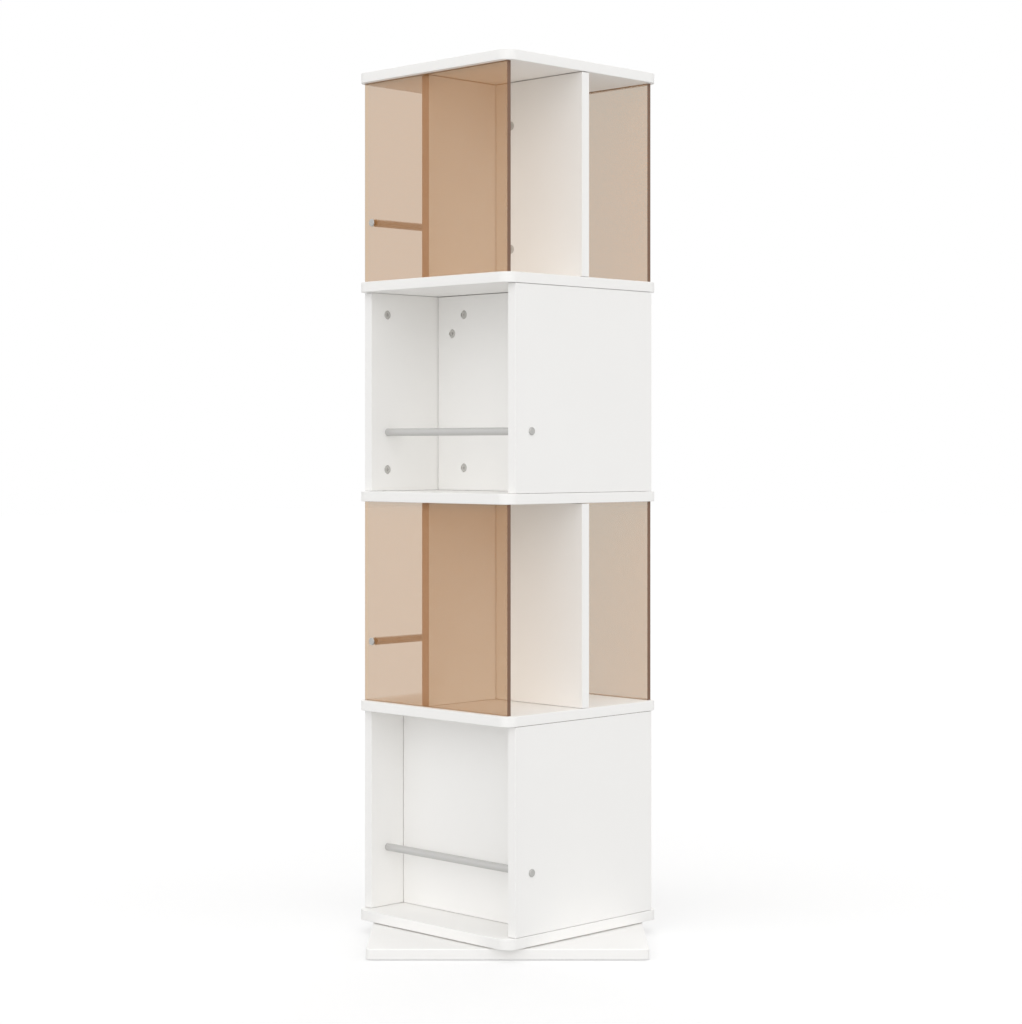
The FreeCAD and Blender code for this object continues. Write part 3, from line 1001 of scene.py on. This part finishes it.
def seen_directly(tree):
    """1 for what the camera sees, also in a reflection or through a pane, and 0 for light on a surface."""
    path = add_node(tree, "ShaderNodeLightPath", {}, {})
    seen = path.outputs["Is Camera Ray"]
    for ray in ("Is Glossy Ray", "Is Transmission Ray"):
        either = add_node(tree, "ShaderNodeMath", {"operation": "MAXIMUM"}, {0: seen, 1: path.outputs[ray]})
        seen = either.outputs[0]
    return seen


bpy.ops.object.select_all(action="DESELECT")
bpy.ops.mesh.primitive_plane_add(size=FLOOR_SIDE, location=(0, 0, cad_low.z))
floor = bpy.context.object
floor.name = "studio_floor"

# Matt grey card, lifted to white where the camera sees it, so that only the cabinet's shadow is left.
pale_floor, tree, place = new_material("pale_studio_floor")
lift = add_node(tree, "ShaderNodeMath", {"operation": "MULTIPLY"}, {
    0: seen_directly(tree),
    1: FLOOR_LIFT,
})
glow = add_node(tree, "ShaderNodeEmission", {}, {"Strength": lift.outputs[0]})
matt = add_node(tree, "ShaderNodeBsdfDiffuse", {}, {"Color": linear("#CECECE")})
both = add_node(tree, "ShaderNodeAddShader", {}, {0: matt.outputs[0], 1: glow.outputs[0]})
add_node(tree, "ShaderNodeOutputMaterial", {}, {"Surface": both.outputs[0]})
floor.data.materials.append(pale_floor)
floor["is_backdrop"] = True

# White surround: white to the eye and in reflections, and dimmer as a source of light.
world = bpy.data.worlds.new("white_surround")
bpy.context.scene.world = world
world.use_nodes = True
tree = world.node_tree
tree.nodes.clear()
level = add_node(tree, "ShaderNodeMapRange", {}, {
    "Value": seen_directly(tree),
    "To Min": SKY_LEVEL,
    "To Max": 1.0,
})
sky = add_node(tree, "ShaderNodeBackground", {}, {
    "Color": (1.0, 1.0, 1.0, 1.0),
    "Strength": level.outputs["Result"],
})
add_node(tree, "ShaderNodeOutputWorld", {}, {"Surface": sky.outputs["Background"]})

for azimuth, elevation, strength in LAMPS:
    bpy.ops.object.light_add(type="SUN", location=(0, 0, 2 * cad_high.z))
    lamp = bpy.context.object
    lamp.name = "soft_lamp"
    lamp.data.energy = strength
    lamp.data.angle = LAMP_SPREAD
    lamp.rotation_euler = (math.radians(90 - elevation), 0, math.radians(azimuth))

# White walls pass light on many times before it fades, so the tiers need more bounces than the default.
bpy.context.scene.cycles.diffuse_bounces = LIGHT_BOUNCES


# Camera. Level, at table height and well back, looking at the edge between the front and the right
# side. Its lens is shifted instead of tilted, so upright edges stay upright.
AZIMUTH = math.radians(45)
BACK_OFF = 3637.7 * MM
SIDESTEP = 5.2 * MM
EYE_HEIGHT = 763.4 * MM
SENSOR_WIDTH = 36.0
LENS = 80.73
LENS_SHIFT = -0.0616

bpy.ops.object.camera_add()
camera = bpy.context.object
camera.name = "photo_camera"
back = Vector((math.sin(AZIMUTH), -math.cos(AZIMUTH), 0))
right = Vector((math.cos(AZIMUTH), math.sin(AZIMUTH), 0))
camera.location = back * BACK_OFF + right * SIDESTEP + Vector((0, 0, EYE_HEIGHT))
camera.rotation_euler = (math.radians(90), 0, AZIMUTH)
camera.data.sensor_width = SENSOR_WIDTH
camera.data.lens = LENS
camera.data.shift_y = LENS_SHIFT
bpy.context.scene.camera = camera
bpy.context.scene.view_settings.view_transform = "Standard"

low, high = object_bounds()
